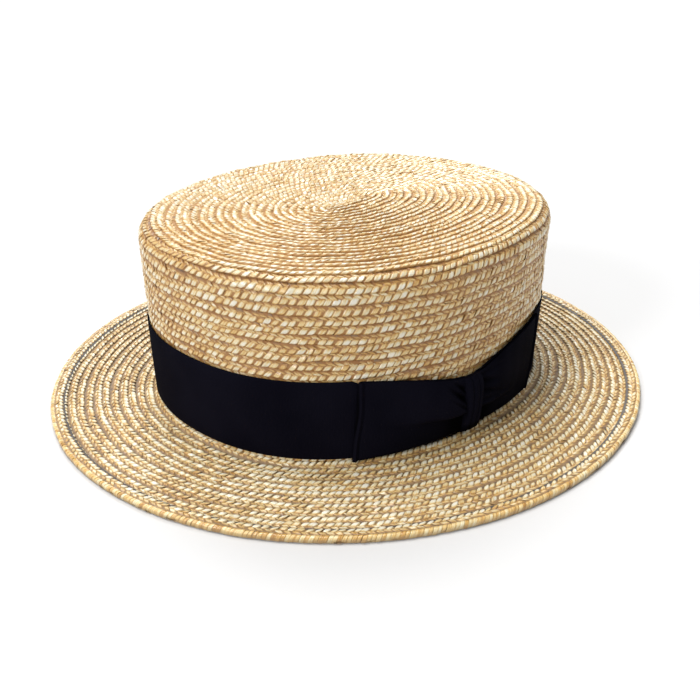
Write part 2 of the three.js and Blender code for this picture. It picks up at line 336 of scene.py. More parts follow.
def plait_piece(name, layers, inward=False):
    """Joins the layers of strands in one mesh."""
    total = sum(len(layer[0]) for layer in layers)
    cells = math.ceil(math.sqrt(total))
    vertices, quads, straw, fibre, bake, creases = [], [], [], [], [], []
    first_vertex = first_strand = 0
    for points, value, own, local in layers:
        n, rows, columns = points.shape[:3]
        one = grid_quads(rows, columns)
        if inward != faces_inwards(points):
            one = one[:, ::-1]
        offsets = first_vertex + np.arange(n)[:, None, None] * rows * columns
        quads.append((one[None] + offsets).reshape(-1, 4))
        vertices.append(points.reshape(-1, 3))
        straw.append(value.reshape(-1, 4))
        fibre.append(own.reshape(-1, 2))
        crease = np.zeros((n, rows, columns), int)
        if columns == CREASED_ACROSS:
            crease[:, :, 1], crease[:, :, 2] = 1, 2
        creases.append(crease.ravel())
        cell = first_strand + np.arange(n)
        corner = np.stack([cell % cells, cell // cells], -1)[:, None, None, :]
        bake.append(((corner + CELL_MARGIN + (1 - 2 * CELL_MARGIN) * local) / cells).reshape(-1, 2))
        first_vertex += n * rows * columns
        first_strand += n
    obj = add_mesh(name, np.concatenate(vertices), np.concatenate(quads))
    set_sharp(obj, np.concatenate(creases))
    set_uv(obj, "Strand", np.concatenate(fibre))
    set_uv(obj, "OFBake", np.concatenate(bake))
    set_colour(obj, "straw", np.concatenate(straw))
    return obj


def faces_inwards(points):
    """True where the grids' own winding faces towards the hat's middle."""
    row, column = points.shape[1] // 2, points.shape[2] // 2
    middle = points[:, row, column]
    along = points[:, row, column - 1] - middle
    up = points[:, row - 1, column] - middle
    outward = middle - np.array(CROWN_MIDDLE)
    return float((np.cross(along, up) * outward).sum()) < 0


# Rows of the crown: (turn, distance from the tip's centre to the row's free border).
# The last one lies below the crown's foot.
CROWN_ROWS = np.array([
    (0, 0.0), (23.5, 86.1), (24.5, 90.9), (25.5, 95.7), (26.5, 100.4), (27.5, 104.7), (28.5, 108.9),
    (43.9, CROWN_END), (46, CROWN_END + 8.5),
])
BRIM_ROWS = 11
BRIM_START = -1.6  # the brim's first row starts inside the crown's wall
UNEVENNESS = 0.16
FOOT_SWELL = 1.3  # how far the brim's first row turns up against the ribbon
FOOT_REACH = 2.4  # and how far out


def crown_place(turn):
    return np.interp(turn, CROWN_ROWS[:, 0], CROWN_ROWS[:, 1])


def brim_place(turn):
    return np.maximum(turn * BRIM_SPAN[0] / BRIM_ROWS, BRIM_START)


def outside_crown(q, theta, height):
    """The crown's outer face, with the slight unevenness of pressed straw."""
    uneven = np.sin(q * 0.13 + 3.1 * np.sin(theta * 4 + 0.7)) * np.sin(theta * 9 + q * 0.05)
    uneven = uneven + 0.6 * np.sin(theta * 23 + 2 * np.sin(q * 0.21))
    return crown_surface(q, theta, height - PLAIT_DEPTH + UNEVENNESS * uneven)


def inside_crown(q, theta, height):
    return crown_surface(q, theta, PLAIT_DEPTH - WALL - height)


def brim_above(f, theta, height):
    swell = FOOT_SWELL * np.exp(-(np.maximum(f, 0) / FOOT_REACH) ** 2)
    return brim_surface(f, theta, BRIM_TOP - PLAIT_DEPTH + height + swell)


def brim_below(f, theta, height):
    return brim_surface(f, theta, PLAIT_DEPTH - height)


CROWN_PITCH = 3.4
BRIM_PITCH = 3.15
# A tier: "stations" are (distance in from the row's free border, height) along a strand. "unshaded" is
# how far each one is free of the painted shade colour, "shade_tone" its change of tone, mostly painted
# shade near where it goes under, and "width" its share of the half width.
# "longer" is how far some strands reach further. "loose" is how much strands stray, "lean" how far one
# runs on along the row, "half" its half width and "phase" its start, in pitches. "free" is how far the
# row's free border stands up, "row" the row's width, "drop" the fall at a strand's sides.
STRAND = dict(
    across=CREASED_ACROSS, longer=0.0, pitch=1.0, loose=1.0, half=0.475, phase=0.0, spread=0.8, order=0,
)
CROWN_STRAND = dict(STRAND, free=0.80, row=4.1)
BRIM_STRAND = dict(STRAND, free=0.68, row=4.7)
CROWN_LOWER = dict(
    CROWN_STRAND, stations=[(0.0, -0.80), (0.16, -0.02), (0.75, 0.28), (1.8, 0.32), (2.8, 0.05)],
    unshaded=[0.2, 0.8, 1.0, 1.0, 0.9], shade_tone=[-0.4, -0.15, 0, 0, -0.45], width=[0.7, 0.9, 1, 1, 0.8],
    longer=0.2, lean=2.6, drop=0.36, tone=0.75,
)
# Its lower tone is partly the straw's own and partly painted shade, as this tier lies recessed under the
# row above.
CROWN_UPPER = dict(
    CROWN_STRAND, stations=[(1.7, -0.25), (2.4, 0.02), (3.0, 0.15), (3.55, 0.10), (5.3, -0.1)],
    unshaded=[0.9, 0.9, 1.0, 0.75, 0.0], shade_tone=[-0.25, -0.15, 0, -0.22, -0.8], width=[0.85, 1, 1, 1, 0.95],
    lean=-3.2, half=0.48, phase=0.5, drop=0.25, tone=0.48, order=1,
)
BRIM_FIRST = dict(
    BRIM_STRAND, stations=[(0.0, -0.70), (0.22, 0.02), (1.0, 0.28), (1.9, 0.26), (2.8, -0.10)],
    unshaded=[0.1, 0.75, 1.0, 1.0, 0.9], shade_tone=[-0.5, -0.3, 0, -0.05, -0.6], width=[0.4, 0.7, 1, 1, 0.8],
    longer=0.1, lean=-2.6, drop=0.40, tone=0.92,
)
# Its lower tone is partly the straw's own and partly painted shade, as this tier lies recessed under the
# next row.
BRIM_SECOND = dict(
    BRIM_STRAND, stations=[(2.0, -0.35), (2.6, 0.0), (3.2, 0.18), (3.9, 0.10), (5.5, -0.15)],
    unshaded=[0.95, 0.95, 1.0, 0.6, 0.0], shade_tone=[-0.4, -0.25, 0, -0.35, -1.0], width=[0.85, 1, 1, 0.95, 0.8],
    lean=2.6, phase=0.5, drop=0.30, tone=0.56, order=1,
)
# The flattened straw under the strands, one plain strip for each row, mostly painted in the shade colour.
CROWN_BED = dict(
    CROWN_STRAND, stations=[(0.10, -1.0), (0.12, -0.22), (1.0, -0.06), (2.6, -0.12), (5.6, -0.1)],
    unshaded=[0.0, 0.1, 0.4, 0.4, 0.0], shade_tone=[-0.3, 0, 0, 0, -0.3], width=[1, 1, 1, 1, 1],
    across=2, pitch=0.75, loose=0.0, lean=0.0, half=0.5, drop=0.0, tone=0.34, spread=0.4,
)
BRIM_BED = dict(
    CROWN_BED, stations=[(0.8, -1.0), (0.8, -0.40), (1.3, -0.24), (2.8, -0.22), (5.9, -0.1)],
    unshaded=[0.0, 0.0, 0.3, 0.4, 0.0], free=0.68, row=4.7,
)
# Painted light: the tip's straw is painted lighter, as the light from above falls on it.
TIP_PAINTED_LIGHT = 0.14
COARSE_STATIONS = (0, 1, 3, 4)


def coarser(tier):
    """The same tier for a face that is seldom seen, with fewer points."""
    tables = {key: [tier[key][i] for i in COARSE_STATIONS] for key in STATION_KEYS}
    return dict(tier, across=3, **tables)


# ---- Node materials ----
def new_material(name):
    material = bpy.data.materials.new(name)
    material.use_nodes = True
    tree = material.node_tree
    return material, tree, tree.nodes["Principled BSDF"]


def node(tree, kind, **settings):
    made = tree.nodes.new(kind)
    for key, value in settings.items():
        if key in made.inputs:
            made.inputs[key].default_value = value
        else:
            setattr(made, key, value)
    return made


MIX_INPUTS = (0, 6, 7)  # a Mix node's factor and its two colours
MIX_OUTPUT = 2


def mix_colour(tree, mode, share, first, second):
    """A colour mix; each argument is a socket or a constant."""
    made = tree.nodes.new("ShaderNodeMix")
    made.data_type = "RGBA"
    made.blend_type = mode
    for index, value in zip(MIX_INPUTS, (share, first, second)):
        socket = made.inputs[index]
        if isinstance(value, bpy.types.NodeSocket):
            tree.links.new(value, socket)
        else:
            socket.default_value = value
    return made.outputs[MIX_OUTPUT]


def remap(tree, socket, low, high, out_low, out_high):
    made = node(tree, "ShaderNodeMapRange", clamp=True)
    tree.links.new(socket, made.inputs[0])
    for i, value in enumerate((low, high, out_low, out_high), 1):
        made.inputs[i].default_value = value
    return made.outputs[0]


def noise(tree, vector, scale, detail=2.0, roughness=0.5):
    made = node(tree, "ShaderNodeTexNoise", Scale=scale, Detail=detail, Roughness=roughness)
    tree.links.new(vector, made.inputs["Vector"])
    return made.outputs["Fac"]


def scaled(tree, vector, scale):
    made = tree.nodes.new("ShaderNodeMapping")
    made.inputs["Scale"].default_value = scale
    tree.links.new(vector, made.inputs["Vector"])
    return made.outputs[0]


def ramp(tree, socket, stops):
    made = tree.nodes.new("ShaderNodeValToRGB")
    tree.links.new(socket, made.inputs[0])
    elements = made.color_ramp.elements
    while len(elements) < len(stops):
        elements.new(0.5)
    for element, (position, colour) in zip(elements, stops):
        element.position = position
        element.color = (*colour, 1)
    return made.outputs[0]


STRAW_STOPS = [
    (0.0, (0.47, 0.23, 0.055)),
    (0.22, (0.71, 0.415, 0.12)),
    (0.46, (0.86, 0.62, 0.27)),
    (0.66, (0.90, 0.765, 0.47)),
    (0.82, (0.95, 0.885, 0.69)),
    (1.0, (0.98, 0.95, 0.86)),
]
# Painted shade colours: straw in shade in the gaps between strands and under each row's free border; the
# tip's is lighter, as more light falls there.
CROWN_SHADE_COLOUR = (0.27, 0.105, 0.015)
TIP_SHADE_COLOUR = (0.42, 0.20, 0.045)
BRIM_SHADE_COLOUR = (0.22, 0.15, 0.075)
DEEP_SHADE_COLOUR = (0.085, 0.072, 0.062)  # a near-black painted shadow, where no straw lies under the gap


def added(tree, *sockets):
    """The sum of some values."""
    total = sockets[0]
    for socket in sockets[1:]:
        plus = node(tree, "ShaderNodeMath", operation="ADD")
        tree.links.new(total, plus.inputs[0])
        tree.links.new(socket, plus.inputs[1])
        total = plus.outputs[0]
    return total


# Noise along the strands: scales across and along one, per mm
FIBRE_SCALE = (7.0, 0.4, 1)
SPLIT_SCALE = (1.9, 0.14, 1)
BLOTCH_SCALE = (0.9, 0.5, 1)
WIDE_SCALE = 26.0  # and over the whole hat, per metre
# Changes of the straw's level in STRAW_STOPS: (from, to, change at from, change at to)
# Painted highlight: the crest lighter and the strand's sides darker
CREST_HIGHLIGHT_LEVEL = (0, 1, -0.44, 0.52)
WIDE_LEVEL = (0.3, 0.7, -0.08, 0.08)
BLOTCH_LEVEL = (0.3, 0.7, -0.10, 0.10)
SPLIT_LEVEL = (0.38, 0.52, -0.26, 0.0)
FIBRE_STOPS = [(0.3, (0.84, 0.80, 0.72)), (0.6, (1, 1, 1))]
DEEP_TONE = 0.14  # below this tone the painted shade deepens to near black
# How far the painted shade colour takes over where a strand is little unshaded
PAINTED_SHADE_MIX = (0.0, 0.9, 0.0, 1.0)
# Changes of roughness, in the same form
STRAND_ROUGHNESS = (0, 1, 0.14, 0.32)
FIBRE_ROUGHNESS = (0.3, 0.7, -0.05, 0.10)
GAP_ROUGHNESS = (0.0, 0.9, 0.45, 0.0)
STRAW_SPECULAR = 0.9


def add_bump(tree, shader, height, strength, depth):
    """Bump from a height socket; depth is in mm."""
    bump = node(tree, "ShaderNodeBump", Strength=strength, Distance=depth * MM)
    tree.links.new(height, bump.inputs["Height"])
    tree.links.new(bump.outputs[0], shader.inputs["Normal"])


def straw_material(name, shade_colour, tint):
    """Split wheat straw: a tone for each strand, fibres and splits along it, a painted highlight along
    each strand's crest, and painted shade in the gaps and where a strand goes under the next row."""
    material, tree, shader = new_material(name)
    straw = node(tree, "ShaderNodeAttribute", attribute_name="straw")
    parts = tree.nodes.new("ShaderNodeSeparateColor")
    tree.links.new(straw.outputs["Color"], parts.inputs[0])
    tone, gloss, unshaded = parts.outputs
    crest_highlight = straw.outputs["Alpha"]
    uv = node(tree, "ShaderNodeUVMap", uv_map="Strand").outputs[0]
    place = tree.nodes.new("ShaderNodeTexCoord").outputs["Object"]
    fibre = noise(tree, scaled(tree, uv, FIBRE_SCALE), 1.0, 3.0, 0.6)
    split = noise(tree, scaled(tree, uv, SPLIT_SCALE), 1.0, 2.0, 0.6)
    blotch = noise(tree, scaled(tree, uv, BLOTCH_SCALE), 1.0)
    wide = noise(tree, place, WIDE_SCALE)
    level = added(
        tree, tone,
        remap(tree, crest_highlight, *CREST_HIGHLIGHT_LEVEL),
        remap(tree, wide, *WIDE_LEVEL),
        remap(tree, blotch, *BLOTCH_LEVEL),
        remap(tree, split, *SPLIT_LEVEL),
    )
    colour = ramp(tree, level, STRAW_STOPS)
    colour = mix_colour(tree, "MULTIPLY", 1.0, colour, ramp(tree, fibre, FIBRE_STOPS))
    colour = mix_colour(tree, "MULTIPLY", 1.0, colour, tint)
    # Painted shade: the shade colour, deepening to near black for the darkest tones, takes over where a
    # strand is little unshaded.
    deep = ramp(tree, tone, [(0.0, DEEP_SHADE_COLOUR), (DEEP_TONE, shade_colour)])
    colour = mix_colour(tree, "MIX", remap(tree, unshaded, *PAINTED_SHADE_MIX), deep, colour)
    tree.links.new(colour, shader.inputs["Base Color"])
    rough = added(
        tree,
        remap(tree, gloss, *STRAND_ROUGHNESS),
        remap(tree, fibre, *FIBRE_ROUGHNESS),
        remap(tree, unshaded, *GAP_ROUGHNESS),
    )
    tree.links.new(rough, shader.inputs["Roughness"])
    shader.inputs["Specular IOR Level"].default_value = STRAW_SPECULAR
    add_bump(tree, shader, added(tree, fibre, split), 0.6, 0.07)
    return material


CORE_SCALE = 420.0  # per metre
CORE_STOPS = [(0.35, (0.20, 0.11, 0.035)), (0.65, (0.36, 0.20, 0.07))]
CORE_ROUGHNESS = 0.8


def core_material():
    """The inside of the plait, seen only through its gaps, painted dark brown as shade."""
    material, tree, shader = new_material("straw_core")
    place = tree.nodes.new("ShaderNodeTexCoord").outputs["Object"]
    spots = noise(tree, place, CORE_SCALE, 2.0, 0.6)
    tree.links.new(ramp(tree, spots, CORE_STOPS), shader.inputs["Base Color"])
    shader.inputs["Roughness"].default_value = CORE_ROUGHNESS
    add_bump(tree, shader, spots, 0.4, 0.1)
    return material


THREAD_SCALE = (0.8, 9.0, 1)  # along and across the ribbon, per millimetre
DYE_SCALE = 34.0  # per metre
DYE_STOPS = [(0.3, (0.0036, 0.0034, 0.0066)), (0.7, (0.0058, 0.0055, 0.0100))]
THREAD_STOPS = [(0.3, (0.7, 0.7, 0.72)), (0.7, (1.25, 1.25, 1.3))]
# Painted shade in the folds: how far the fold value mixes in the near-black colour
FOLD_SHADE_SHARE = (0, 1, 0, 0.9)
FOLD_SHADE_COLOUR = (0.0006, 0.0006, 0.0006, 1)
RIBBON_ROUGHNESS = (0.3, 0.7, 0.55, 0.72)
RIBBON_SPECULAR = 0.008
RIBBON_SPECULAR_TINT = (0.75, 0.80, 1.0, 1)


def ribbon_material():
    """Black grosgrain: faintly uneven dye and threads, painted shade inside the folds, and a dull sheen.
    """
    material, tree, shader = new_material("black_grosgrain")
    uv = node(tree, "ShaderNodeUVMap", uv_map="Weave").outputs[0]
    thread = noise(tree, scaled(tree, uv, THREAD_SCALE), 1.0, 2.0, 0.6)
    place = tree.nodes.new("ShaderNodeTexCoord").outputs["Object"]
    colour = ramp(tree, noise(tree, place, DYE_SCALE), DYE_STOPS)
    colour = mix_colour(tree, "MULTIPLY", 1.0, colour, ramp(tree, thread, THREAD_STOPS))
    fold = node(tree, "ShaderNodeAttribute", attribute_name="fold").outputs["Fac"]
    colour = mix_colour(tree, "MIX", remap(tree, fold, *FOLD_SHADE_SHARE), colour, FOLD_SHADE_COLOUR)
    tree.links.new(colour, shader.inputs["Base Color"])
    tree.links.new(remap(tree, thread, *RIBBON_ROUGHNESS), shader.inputs["Roughness"])
    shader.inputs["Specular IOR Level"].default_value = RIBBON_SPECULAR
    shader.inputs["Specular Tint"].default_value = RIBBON_SPECULAR_TINT
    add_bump(tree, shader, thread, 0.5, 0.03)
    return material


# Painted light and shade: the tints make the upright side's straw darker than the tip's and the brim's.
TIP_STRAW = straw_material("tip_wheat_straw", TIP_SHADE_COLOUR, (0.955, 0.965, 0.93, 1))
SIDE_STRAW = straw_material("side_wheat_straw", CROWN_SHADE_COLOUR, (0.905, 0.915, 0.895, 1))
BRIM_STRAW = straw_material("brim_wheat_straw", BRIM_SHADE_COLOUR, (0.99, 1.0, 0.98, 1))
CORE = core_material()
RIBBON = ribbon_material()

# The edge row shows its whole width, so it has more tiers: its bed, the covered side, the middle and
# the side that turns over the hat's edge.
EDGE_BED = dict(
    BRIM_BED, stations=[(-0.7, -0.85), (0.7, -0.42), (1.5, -0.14), (4.5, -0.12), (5.8, -0.3)], free=0.0,
    unshaded=[0.0, 0.0, 0.3, 0.3, 0.2], shade_tone=[-0.6, -0.6, -0.2, 0, 0],
)
EDGE_MIDDLE = dict(
    BRIM_SECOND, stations=[(1.9, -0.25), (2.5, 0.08), (3.2, 0.20), (3.9, 0.12), (4.5, -0.2)], free=0.0,
    unshaded=[0.9, 0.9, 1.0, 0.8, 0.2], tone=0.66,
)
EDGE_INNER = dict(
    BRIM_FIRST, stations=[(0.2, -0.9), (0.45, 0.02), (1.2, 0.26), (2.0, 0.22), (2.7, -0.15)], free=0.0,
    width=[0.2, 0.4, 1, 1, 0.8], longer=0.0,
)
EDGE_OUTER = dict(
    BRIM_FIRST, free=0.0, longer=0.0,
    stations=[(4.1, -0.25), (4.6, 0.08), (5.5, 0.10), (6.1, -0.35), (6.25, -1.1), (6.1, -2.5)],
    unshaded=[0.2, 0.9, 1.0, 1.0, 0.7, 0.3], shade_tone=[-0.3, 0, 0, 0, 0, 0], width=[0.9, 1, 1, 1, 1, 1],
    order=2, tone=0.80, lean=-1.6, pitch=0.55, half=0.5, drop=0.08, loose=0.35,
)
EDGE_UNDER_OUTER = dict(
    EDGE_MIDDLE, stations=[(4.1, -0.2), (4.6, 0.12), (5.2, 0.16), (5.6, 0.0), (5.95, -0.7)], lean=-2.0,
)
EDGE_TIERS = [EDGE_BED, EDGE_MIDDLE, EDGE_INNER, EDGE_OUTER]
EDGE_UNDER_TIERS = [EDGE_MIDDLE, EDGE_INNER, EDGE_UNDER_OUTER]

START_HALF_LENGTH = 15.0
START_SCALE = 4.4 / EDGE_ROW_WIDTH  # the first stretch is narrower than the edge row
START_SINK = 0.45
START_TAPER = 3.0  # over this length its ends go down
START_END_SINK = 0.5


def start_surface(across, along, height):
    """The first stretch of plait, laid straight along the middle of the tip."""
    across, along, height = np.broadcast_arrays(across, along, height)
    x = (across - EDGE_ROW_WIDTH / 2) * START_SCALE
    y = (along / TURN - 0.5) * 2 * START_HALF_LENGTH
    ends = np.clip((START_HALF_LENGTH - np.abs(y)) / START_TAPER, 0, 1)
    z = CROWN_TOP - START_SINK + height * START_SCALE - START_END_SINK * (1 - ends)
    return np.stack([x, y, z], -1)


def start_layers():
    track = Track(np.zeros_like, (0.0, 1.0), start_surface, 0.0)
    tiers = [dict(tier, order=k) for k, tier in enumerate(EDGE_UNDER_TIERS)]
    return [lay_strands(track, BRIM_PITCH, tier, 1) for tier in tiers]


# ---- Straw pieces ----
CROWN_TURNS = (0.35, 43.95)
BRIM_TURNS = (-0.95, BRIM_ROWS - 0.02)
EDGE_LENGTH = 925
EDGE_TURNS = (0.0, 1.0 + 2 * BRIM_PITCH / EDGE_LENGTH)
TIP_END = 23.6
HIDDEN_TURNS = (37.8, 42.4)  # behind the ribbon
TIP_WINDOWS = [(0, TIP_END)]
SIDE_WINDOWS = [(TIP_END, HIDDEN_TURNS[0]), (HIDDEN_TURNS[1], math.inf)]
CROWN_WAVE, BRIM_WAVE, EDGE_WAVE = 0.28, 0.22, 0.12  # how far the rows' borders waver
EDGE_DEPTH = 0.35  # from the edge row's faces to the strands' own level


def edge_place(turn):
    return np.full_like(turn, BRIM_SPAN[0])


def edge_above(f, theta, height):
    return brim_surface(f, theta, BRIM_TOP + EDGE_ROW_RISE - EDGE_DEPTH + height)


def edge_below(f, theta, height):
    return brim_surface(f, theta, EDGE_DEPTH - height)


def crown_layers(track, windows, painted_light):
    """The tiers of the crown's outer face over some of its turns, with their tone raised by painted
    light.
    """
    tiers = [dict(tier, tone=tier["tone"] + painted_light) for tier in (CROWN_BED, CROWN_UPPER, CROWN_LOWER)]
    return [lay_strands(track, CROWN_PITCH, tier, -1, windows) for tier in tiers]


def crown_plait():
    """The tip, the side and the inside of the crown."""
    track = Track(crown_place, CROWN_TURNS, outside_crown, CROWN_WAVE)
    tip = crown_layers(track, TIP_WINDOWS, TIP_PAINTED_LIGHT) + start_layers()
    finish_piece(plait_piece("crown_tip_plait", tip), TIP_STRAW, "crown")
    side = crown_layers(track, SIDE_WINDOWS, 0.0)
    finish_piece(plait_piece("crown_side_plait", side), SIDE_STRAW, "crown")
    track = Track(crown_place, CROWN_TURNS, inside_crown, CROWN_WAVE)
    inside = [lay_strands(track, CROWN_PITCH, coarser(t), -1) for t in (CROWN_UPPER, CROWN_LOWER)]
    inside_piece = plait_piece("crown_inside_plait", inside, inward=True)
    finish_piece(inside_piece, SIDE_STRAW, "crown")


def brim_piece(name, track, tiers, node_name, below=False):
    """One face of the brim or of its edge row, from its tiers of strands."""
    if below:
        tiers = [coarser(tier) for tier in tiers]
    layers = [lay_strands(track, BRIM_PITCH, tier, 1) for tier in tiers]
    obj = plait_piece(name, layers)
    normals = np.empty(len(obj.data.polygons) * 3, np.float32)
    obj.data.polygons.foreach_get("normal", normals)
    faces_up = normals.reshape(-1, 3)[:, 2].sum() > 0
    if faces_up == below:
        obj.data.flip_normals()
    finish_piece(obj, BRIM_STRAW, node_name)


def brim_plait():
    """Both faces of the brim, then both faces of its edge row."""
    above = Track(brim_place, BRIM_TURNS, brim_above, BRIM_WAVE)
    brim_piece("brim_plait", above, (BRIM_BED, BRIM_SECOND, BRIM_FIRST), "brim")
    under = Track(brim_place, BRIM_TURNS, brim_below, BRIM_WAVE)
    brim_piece("brim_under_plait", under, (BRIM_SECOND, BRIM_FIRST), "brim", below=True)
    edge = Track(edge_place, EDGE_TURNS, edge_above, EDGE_WAVE)
    brim_piece("edge_plait", edge, EDGE_TIERS, "edge_braid")
    edge_under = Track(edge_place, EDGE_TURNS, edge_below, EDGE_WAVE)
    brim_piece("edge_under_plait", edge_under, EDGE_UNDER_TIERS, "edge_braid", below=True)


crown_plait()
brim_plait()


# ---- The solid core under the plait ----
CORE_AROUND = 240
CORE_EDGE_STEPS = 6
CORE_SIDE_STEPS = 4
CORE_OUT = -WALL / 2 - CORE_HALF
CORE_IN = -WALL / 2 - 3 * CORE_HALF
BRIM_END = BRIM_SPAN[0]
# Round the brim's section: (distance out from the crown, height). Its end steps up into the edge row.
BRIM_CORE = [
    (-1.0, 1.17), (BRIM_END + 5.6, 1.0), (BRIM_END + 5.6, 2.4), (BRIM_END + 1.2, 2.6),
    (BRIM_END + 0.5, 1.33), (-1.0, 1.33),
]


def core_piece(name, profile, surface, node_name):
    """A closed ring swept round the hat: profile is (coordinate, lift) points."""
    theta = np.linspace(0, TURN, CORE_AROUND, endpoint=False)[:, None]
    profile = np.array(profile)
    points = surface(profile[None, :, 0], theta, profile[None, :, 1])
    quads = grid_quads(len(theta), len(profile), wrap_rows=True, wrap_columns=True)
    finish_piece(add_mesh(name, points.reshape(-1, 3), quads), CORE, node_name)


def crown_core():
    edge = [TIP_FLAT + EDGE_ARC * k / CORE_EDGE_STEPS for k in range(1, CORE_EDGE_STEPS + 1)]
    side = [SIDE_START + SIDE_HEIGHT * k / CORE_SIDE_STEPS for k in range(1, CORE_SIDE_STEPS + 1)]
    line = [TIP_CENTRE, 30, 60, TIP_FLAT] + edge + side
    profile = [(q, CORE_OUT) for q in line] + [(q, CORE_IN) for q in line[::-1]]
    core_piece("crown_core", profile, crown_surface, "crown")


crown_core()
core_piece("brim_core", BRIM_CORE, brim_surface, "brim")


# ---- Ribbon ----
RIB_PITCH = 0.65
RIB_DEPTH = 0.07
COLUMNS_PER_RIB = 4
BAND_THICKNESS = 0.5
BAND_GAP = 0.2  # between the crown's wall and the band
BOW_THICKNESS = 0.42
TINY = 1e-9

# Arc lengths round the crown's base, from the hat's right and from its left
BASE_TURNS = np.linspace(-0.5, 0.5, 4801)
FROM_RIGHT = lengths_along(crown_surface(CROWN_END, BASE_TURNS * TURN, 0.0))
BASE_LENGTH = FROM_RIGHT[-1]
BASE_ARC = FROM_RIGHT - np.interp(0, BASE_TURNS, FROM_RIGHT)


def wall_point(arc, z, out):
    """A point beside the crown's wall.

    arc runs along the wall's base from the hat's left, z is the height over the brim, and out is the
    distance from the wall.
    """
    turn = np.interp(arc, BASE_ARC, BASE_TURNS)
    return crown_surface(CROWN_END - z, turn * TURN, out)


# The ribbon's upper border under and beside the bow: (arc, height)
TOP_BORDER = np.array([
    (-73, 39.7), (-60, 38.5), (-51, 36.7), (-41, 34.7), (-32, 32.3), (-22, 30), (-14, 30.2), (4, 34.8),
    (23, 38), (41, 39.7),
])
BAND_LOWERED = 1.6  # how far the band's border lies below that behind the bow
BEHIND_BOW, BEHIND_BOW_EASE = 57, 4  # how far to each side of the bow's middle, and the ease at the ends
# Round the band's section: (share of its height, share of its thickness)
BAND_SECTION = np.array([
    (0.0, 0.0), (0.0, 0.5), (0.02, 1), (0.15, 1), (0.32, 1), (0.5, 1), (0.68, 1), (0.85, 1), (0.98, 1),
    (1.0, 0.5), (1.0, 0.0),
])
SCALLOP = 0.12  # how far each rib stands out at the woven borders


def rib_heights(columns):
    """The ribs across a ribbon, from 0 to 1, at each of its columns."""
    return 0.5 - 0.5 * np.cos(np.arange(columns) * TURN / COLUMNS_PER_RIB)[:, None]


def band():
    """The ribbon round the crown, drawn down behind the bow, with faint ripples."""
    columns = round(BASE_LENGTH / RIB_PITCH) * COLUMNS_PER_RIB
    arc = np.linspace(-BASE_LENGTH / 2, BASE_LENGTH / 2, columns, endpoint=False)[:, None]
    rib = rib_heights(columns)
    behind_bow = np.clip((BEHIND_BOW - np.abs(arc - BOW_CENTRE)) / BEHIND_BOW_EASE, 0, 1)
    top = np.interp(arc, TOP_BORDER[:, 0], TOP_BORDER[:, 1]) - BAND_LOWERED * behind_bow
    across, layer = BAND_SECTION.T[:, None, :]
    z = RIBBON_LOW + (top - RIBBON_LOW) * across
    border = np.where(across == 0, -1, np.where(across == 1, 1, 0)) * (layer == 0.5)
    scallop = SCALLOP * rib * border
    ripple = 0.10 * np.sin(arc / 17.0 + 0.8) * np.sin(z / 9.0) + 0.07 * np.sin(arc / 6.3)
    out = BAND_GAP + BAND_THICKNESS * layer + (RIB_DEPTH * rib + ripple) * (layer == 1)
    points = wall_point(arc, z + scallop, out)
    quads = grid_quads(columns, across.size, wrap_rows=True, wrap_columns=True)
    obj = add_mesh("band_ribbon", points.reshape(-1, 3), quads[:, ::-1])
    set_uv(obj, "Weave", np.stack(np.broadcast_arrays(arc, z), -1).reshape(-1, 2))
    finish_piece(obj, RIBBON, "band")


def bow_ribbon(name, points, weave, fold, node_name):
    """A closed strip from its middle surface (rows, columns, 3), with its painted shade in the folds."""
    along = np.gradient(points, axis=0)
    across = np.gradient(points, axis=1)
    normal = np.cross(along, across)
    normal /= np.maximum(np.linalg.norm(normal, axis=2, keepdims=True), TINY)
    rows, columns = points.shape[:2]
    front = points + normal * BOW_THICKNESS / 2
    back = points - normal * BOW_THICKNESS / 2
    ring = np.concatenate([front, back[:, ::-1]], 1)
    quads = grid_quads(rows, 2 * columns, wrap_columns=True)
    cap = np.arange(columns - 1)
    first = np.stack([cap, cap + 1, 2 * columns - 2 - cap, 2 * columns - 1 - cap], -1)
    last = first[:, ::-1] + (rows - 1) * 2 * columns
    quads = np.concatenate([quads, first[:, ::-1], last[:, ::-1]])
    obj = add_mesh(name, ring.reshape(-1, 3), quads)
    set_uv(obj, "Weave", np.concatenate([weave, weave[:, ::-1]], 1).reshape(-1, 2))
    fold = np.concatenate([fold, fold[:, ::-1]], 1).reshape(-1, 1)
    set_colour(obj, "fold", np.repeat(fold, 4, 1))
    finish_piece(obj, RIBBON, node_name)


# The bow's loops: (distance from the knot's middle, low, high, how far out its edge and middle lie)
LOOP_SECTIONS = np.array([
    (3.5, 4.0, 30.2, 2.4, 5.6), (9, 3.9, 31.0, 2.4, 6.4), (16, 3.5, 32.6, 2.3, 6.3),
    (25, 3.1, 34.9, 2.2, 5.2), (35, 2.8, 37.0, 2.1, 3.8), (45, 2.5, 38.7, 2.1, 2.9),
    (52, 2.0, 39.5, 2.2, 2.6), (54, 1.6, 39.7, 2.2, 2.5), (55.5, 1.1, 39.8, 2.3, 2.5),
])
LOOP_START, LOOP_END = LOOP_SECTIONS[0, 0], LOOP_SECTIONS[-1, 0]
LOOP_RUN = LOOP_END - LOOP_START
LOOP_RIBS = round(LOOP_RUN / RIB_PITCH)
LOOP_COLUMNS = 37  # points up a loop's height
KNOT_HALF = 4.6
